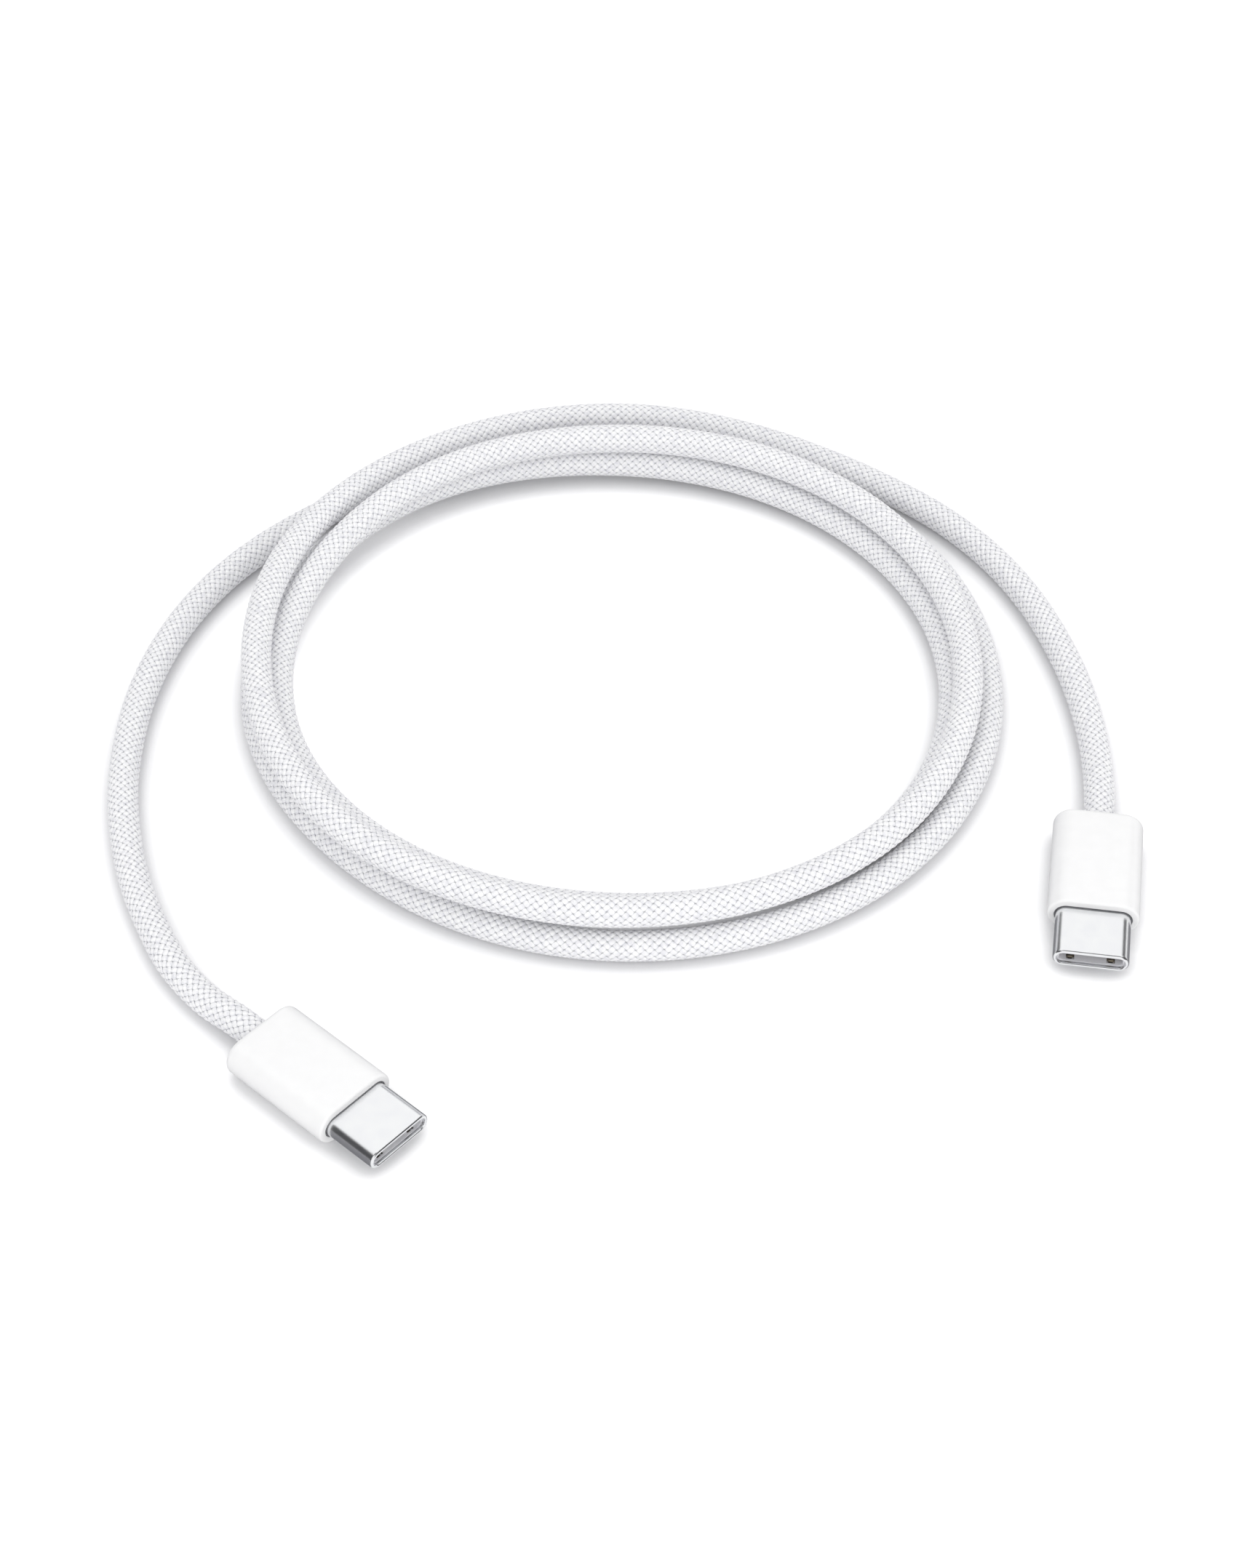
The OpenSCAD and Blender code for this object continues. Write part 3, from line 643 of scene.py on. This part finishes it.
def make_shell(side):
    """The drawn shell: its outside, the rounded nose, the lip turned in, and its inside."""
    flat, r = SHELL_W - SHELL_H, SHELL_H / 2
    lip, inner = r - LIP_WALL, r - SHELL_WALL
    profile = [
        (inner, -SHELL_IN),
        (r, -SHELL_IN),
        *quarter(r - NOSE_ROUND, SHELL_OUT - NOSE_ROUND, NOSE_ROUND, 0, 90),
        *quarter(lip + LIP_ROUND, SHELL_OUT - LIP_RUN, LIP_ROUND, 90, 180, 6, LIP_RUN)[1:],
        (lip, SHELL_OUT - LIP_DEPTH),
        (inner, SHELL_OUT - LIP_DEPTH),
        (inner, -SHELL_IN),
    ]
    plug_skin(side, "shell", [(stadium_ring(flat, a), z) for a, z in profile], "steel_shell")


for side in PLUGS:
    make_sleeve(side)
    make_shell(side)

# Solids whose shape is right keep it and take the scene's finishes
slots = {row["node"]: row["material_slot"] for row in frame["record"]["subparts"]}
for name, node in frame["nodes"].items():
    if not node.hide_render:
        node.data.materials.clear()
        node.data.materials.append(MATERIALS[slots[name]])

# ---------------------------------------------------------------- floor and light

FLOOR_SIZE = 6000.0
FLOOR_UNDER = 0.02  # clear of the cable's underside
FLOOR_GLOW = 0.47  # with the lamps' light it makes the open floor pure white
SHADOW_REACH = 3.0  # how near to the cable the floor's glow fades
FLOOR_GLEAM = 0.08  # glow that the metal shells mirror
DOME_LEAN = (0.16, -0.3, 1.0)  # the dome is brightest this way
DOME_TONES = ((0.0, "#dfdfe2"), (0.5, "#fafafb"), (1.0, "#ffffff"))
FLAG_R, FLAG_STEPS = 900.0, 12
FLAG_TONES = ("#3c3c3e", "#5a5a5d", "#9c9ca0")
FLAGS = (  # bearings from the back and rises over the table, in degrees, and tone
    ((40, 75), (16, 40), 0),
    ((75, 150), (1, 52), 0),
    ((-75, -30), (8, 38), 0),
    ((-150, -75), (1, 52), 0),
    ((130, 230), (50, 85), 1),
    ((3, 20), (8, 28), 2),
)
CARD_TONE = "#7c7c80"
CARD_OVER = 0.05  # height over the table
CARD_CORNERS = ((4.3, -30), (4.3, 6.5), (250, 60), (250, -250))  # way out from a plug, and along
LAMPS = {  # place, aim, width and watts
    "high light": ((-20, 360, 1150), (-10, 30, 0), 600, 0.6),
    "front light": ((120, -740, 220), (0, 20, 0), 500, 1.2),
}


def rays_of(tree, *kinds):
    """One for rays of these kinds, zero for the rest."""
    rays = add(tree, "ShaderNodeLightPath").outputs
    mask = rays[kinds[0]]
    for kind in kinds[1:]:
        mask = add(
            tree, "ShaderNodeMath", {0: mask, 1: rays[kind]}, operation="MAXIMUM"
        ).outputs["Value"]
    return mask


def staged(name, mesh):
    """A thing of the studio, which isn't part of the cable."""
    thing = bpy.data.objects.new(name, mesh)
    scene.collection.objects.link(thing)
    return thing


def make_floor():
    """A matt white table that shows as pure white, and keeps the soft shadow where the cable
    touches it."""
    half = FLOOR_SIZE / 2
    corners = [(x * half, y * half, -FLOOR_UNDER) for x, y in ((-1, -1), (1, -1), (1, 1), (-1, 1))]
    mesh = plain_mesh("floor", corners, [(0, 1, 2, 3)])
    material, tree = blank_material("matt white table")
    open_sky = add(
        tree, "ShaderNodeAmbientOcclusion", {"Distance": SHADOW_REACH * MM}, samples=8
    ).outputs["AO"]
    # Where the cable hides half of the sky, the glow is gone
    glow = add(
        tree,
        "ShaderNodeMapRange",
        {"Value": open_sky, "From Min": 0.5, "From Max": 1.0, "To Min": 0.0, "To Max": FLOOR_GLOW},
    ).outputs["Result"]
    seen = add(
        tree, "ShaderNodeMath", {0: rays_of(tree, "Is Camera Ray"), 1: glow}, operation="MULTIPLY"
    ).outputs["Value"]
    mirrored = rays_of(tree, "Is Glossy Ray", "Is Transmission Ray")
    strength = add(
        tree,
        "ShaderNodeMath",
        {0: mirrored, 1: FLOOR_GLEAM, 2: seen},
        operation="MULTIPLY_ADD",
    ).outputs["Value"]
    shader = add(
        tree,
        "ShaderNodeBsdfPrincipled",
        {
            "Base Color": colour("#ececed"),
            "Roughness": 0.9,
            "Specular IOR Level": 0.0,
            "Emission Color": colour("#ffffff"),
            "Emission Strength": strength,
        },
    )
    add(tree, "ShaderNodeOutputMaterial", {"Surface": shader.outputs["BSDF"]})
    mesh.materials.append(material)
    staged("floor", mesh)


def make_world():
    """A plain bright dome that lights the cable, and a white backdrop wherever it is seen."""
    world = bpy.data.worlds.new("studio")
    world.use_nodes = True
    tree = world.node_tree
    tree.nodes.clear()
    place = add(tree, "ShaderNodeTexCoord").outputs["Generated"]
    lean = add(
        tree, "ShaderNodeVectorMath", {0: place, 1: DOME_LEAN}, operation="DOT_PRODUCT"
    ).outputs["Value"]
    height = add(
        tree,
        "ShaderNodeMapRange",
        {"Value": lean, "From Min": -0.2, "From Max": 0.8, "To Min": 0.0, "To Max": 1.0},
    ).outputs["Result"]
    tone = add(tree, "ShaderNodeValToRGB", {"Fac": height}, stops=DOME_TONES).outputs["Color"]
    white = rays_of(tree, "Is Camera Ray", "Is Glossy Ray", "Is Transmission Ray")
    mixed = add(
        tree, "ShaderNodeMix", {0: white, 6: tone, 7: colour("#ffffff")}, data_type="RGBA"
    ).outputs[2]
    back = add(tree, "ShaderNodeBackground", {"Color": mixed, "Strength": 1.0})
    add(tree, "ShaderNodeOutputWorld", {"Surface": back.outputs["Background"]})
    scene.world = world


def grey_card(code):
    """Card, painted matt: an even grey without a highlight."""
    material, tree = blank_material(f"matt grey card {code[1:]}")
    shader = add(tree, "ShaderNodeBsdfPrincipled", {"Base Color": colour(code), "Roughness": 0.9})
    add(tree, "ShaderNodeOutputMaterial", {"Surface": shader.outputs["BSDF"]})
    return material


def hidden_card(name, mesh):
    """A card of the studio that only the cable's gloss can see."""
    card = staged(name, mesh)
    card.visible_camera = False
    card.visible_diffuse = False
    card.visible_shadow = False


def make_flags():
    """Grey cards on a dome round the table, out of the camera's sight: the metal shells show them
    as darker bands."""
    points, faces, tones = [], [], []
    for (start, end), rises, tone in FLAGS:
        low, high = (math.radians(rise) for rise in rises)
        for i in range(FLAG_STEPS):
            a, b = (math.radians(start + (end - start) * j / FLAG_STEPS) for j in (i, i + 1))
            faces.append(tuple(range(len(points), len(points) + 4)))
            tones.append(tone)
            for bearing, rise in ((a, low), (b, low), (b, high), (a, high)):
                flat = math.cos(rise)
                points.append((flat * math.sin(bearing), flat * math.cos(bearing), math.sin(rise)))
    mesh = plain_mesh("flags", np.array(points) * FLAG_R, faces)
    for code in FLAG_TONES:
        mesh.materials.append(grey_card(code))
    mesh.polygons.foreach_set("material_index", tones)
    hidden_card("flags", mesh)


def make_side_cards():
    """Grey cards that lie beside the two shells, out of the camera's sight: the shells' lower
    sides show them."""
    for side in PLUGS:
        for hand, word in ((-1, "left"), (1, "right")):
            corners = [(hand * x, CARD_OVER - SLEEVE_H / 2, z) for x, z in CARD_CORNERS]
            mesh = plain_mesh(f"{side}_card", laid(side, corners), [(0, 1, 2, 3)])
            mesh.materials.append(grey_card(CARD_TONE))
            hidden_card(f"{side}_card_{word}", mesh)


def soft_box(name, place, aim, width, watts):
    """A square lamp that lights the cable from this place, and that no metal mirrors."""
    data = bpy.data.lights.new(name, "AREA")
    data.shape = "SQUARE"
    data.size = width * MM
    data.energy = watts
    lamp = bpy.data.objects.new(name, data)
    way = np.subtract(aim, place)
    flat = math.hypot(way[0], way[1])
    lamp.location = np.array(place) * MM
    lamp.rotation_euler = (math.atan2(flat, -way[2]), 0, math.atan2(-way[0], way[1]))
    lamp.visible_glossy = False
    scene.collection.objects.link(lamp)


make_floor()
make_world()
make_flags()
make_side_cards()
for name, values in LAMPS.items():
    soft_box(name, *values)
scene.view_settings.view_transform = "Standard"
